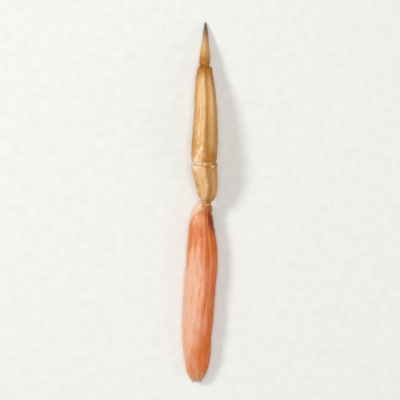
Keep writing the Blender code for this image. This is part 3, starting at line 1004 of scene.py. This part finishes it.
def lay_floor():
    """A plain pale floor, very faintly clouded."""
    f = Finish("pale_floor", Roughness=0.75)
    cloud = f.noise(0.004, 0.004, detail=2.0)
    colour = f.mix(f.remap(cloud, 0.3, 0.7), FLOOR_GREY, FLOOR_PALE)
    f.feed(f.shader.inputs["Base Color"], colour)
    bpy.ops.mesh.primitive_plane_add(size=FLOOR_WIDTH, location=(0, 0, 0))
    floor = bpy.context.object
    floor.name = "floor"
    floor.data.materials.append(f.material)


def lights():
    """Soft light from the upper left and from above, with a weak fill and sky."""
    world = bpy.data.worlds.new("studio")
    bpy.context.scene.world = world
    world.use_nodes = True
    background = world.node_tree.nodes["Background"]
    background.inputs["Color"].default_value = SKY_COLOUR
    background.inputs["Strength"].default_value = SKY_STRENGTH
    for name, place, width, power, colour in LIGHTS:
        light = bpy.data.lights.new(name, "AREA")
        light.shape = "DISK"
        light.size, light.energy, light.color = width, power, colour
        lamp = bpy.data.objects.new(name, light)
        lamp.location = place
        lamp.rotation_euler = (Vector(LIT_POINT) - Vector(place)).to_track_quat("-Z", "Y").to_euler()
        bpy.context.scene.collection.objects.link(lamp)


def camera():
    """Straight down, the leg upright in the frame with its tip at the top."""
    fill, lens, sensor = 0.92, 100, 36
    view = bpy.data.cameras.new("camera")
    view.lens, view.sensor_width = lens, sensor
    eye = bpy.data.objects.new("camera", view)
    middle = (cad_low + cad_high) / 2
    span = (cad_high.y - cad_low.y) / fill
    eye.location = (middle.x, middle.y, cad_high.z + span * lens / sensor)
    bpy.context.scene.collection.objects.link(eye)
    bpy.context.scene.camera = eye
    bpy.context.scene.view_settings.view_transform = "Standard"


# ---------------------------------------------------------------- the leg


def shells(crust):
    """The carpus, the propodus and the claw."""
    shell(
        "carpus_shell", "carpus", KNEE_Y, WRIST_Y, CARPUS_SIZE, CARPUS_OUTLINE, CARPUS_RIDGES, crust,
        sides=168, rows=130, seed=100, wall=WRIST_WALL, socket=WRIST_SOCKET, lobes=WRIST_LOBES,
        stains_and_shade=[(KNEE_Y, 0.0058, 0.42, 0.64), (WRIST_Y, 0.0032, 0.0, 0.48)],
        spots=granule_spots(
            KNEE_Y + 0.004, WRIST_Y - 0.0015, CARPUS_RIDGES, spacing=0.0013, scattered=160, seed=5
        ),
        bosses=[
            (WRIST_Y - 0.0004, math.radians(134), 0.0013, 0.00030),
            (WRIST_Y - 0.0004, math.radians(50), 0.0006, 0.00022),
        ],
    )
    shell(
        "propodus_shell", "propodus", WRIST_Y + PLUG_REACH + GAP, ANKLE_Y, PROPODUS_SIZE, PROPODUS_OUTLINE,
        PROPODUS_RIDGES, crust,
        sides=176, rows=250, seed=200, wall=ANKLE_WALL, socket=ANKLE_SOCKET, lobes=ANKLE_LOBES,
        # The second stain is painted shade on the left past the wrist, and the two tone patches below are
        # painted shade there and painted light on the right further on.
        stains_and_shade=[
            (WRIST_Y + 0.0022, 0.0048, 0.0, 0.72),
            (WRIST_Y + 0.0085, 0.0045, 0.24, 0.0),
            (ANKLE_Y, 0.0038, 1.0, 0.85),
        ],
        painted_light_and_shade=[(WRIST_Y + 0.0075, 0.0055, 0.22, 0.0), (WRIST_Y + 0.0255, 0.0090, 0.0, -0.26)],
        spots=granule_spots(
            WRIST_Y + 0.004, ANKLE_Y - 0.004, PROPODUS_RIDGES, spacing=0.0014, scattered=260, seed=9
        ),
        bosses=[(WRIST_Y + 0.0018, math.radians(136), 0.0014, 0.00024)],
    )
    shell(
        "dactylus_claw", "dactylus", ANKLE_Y + PLUG_REACH + GAP, TIP_Y, DACTYLUS_SIZE, DACTYLUS_OUTLINE,
        DACTYLUS_RIDGES, crust,
        sides=110, rows=150, seed=300, stains_and_shade=[(ANKLE_Y, 0.0058, 1.0, 0.95)], flutes=CLAW_FLUTE_DEPTH,
        horn=0.0135, even=0.75,
    )


def main():
    flesh = meat_finish()
    crust = shell_finish()
    knee_skin = membrane_finish("knee_membrane", (SKIN_CREAM, SKIN_PINK, SKIN_TAN), (0.0007, 0.0040))
    wrist_skin = membrane_finish("wrist_skin", (SHELL_WHITE, SHELL_BUFF, SHELL_TAN), (0.0005, 0.0012))
    ankle_skin = membrane_finish("ankle_skin", (SKIN_AMBER, SHELL_AMBER, SHELL_AMBER), (0.0004, 0.0010))

    meat(flesh)
    loose_fibres(flesh)
    collar(knee_skin)
    membrane_shred(knee_skin)
    shells(crust)
    joint_skin(
        "wrist_folds", "wrist_membrane", WRIST_Y, CARPUS_SIZE, CARPUS_OUTLINE, wrist_skin,
        wall=WRIST_WALL, socket=WRIST_SOCKET, extra=WRIST_SKIN_EXTRA, folds=3,
    )
    joint_skin(
        "ankle_folds", "ankle_membrane", ANKLE_Y, PROPODUS_SIZE, PROPODUS_OUTLINE, ankle_skin,
        wall=ANKLE_WALL, socket=ANKLE_SOCKET, extra=ANKLE_SKIN_EXTRA, folds=2,
    )
    lay_floor()
    lights()
    camera()


main()
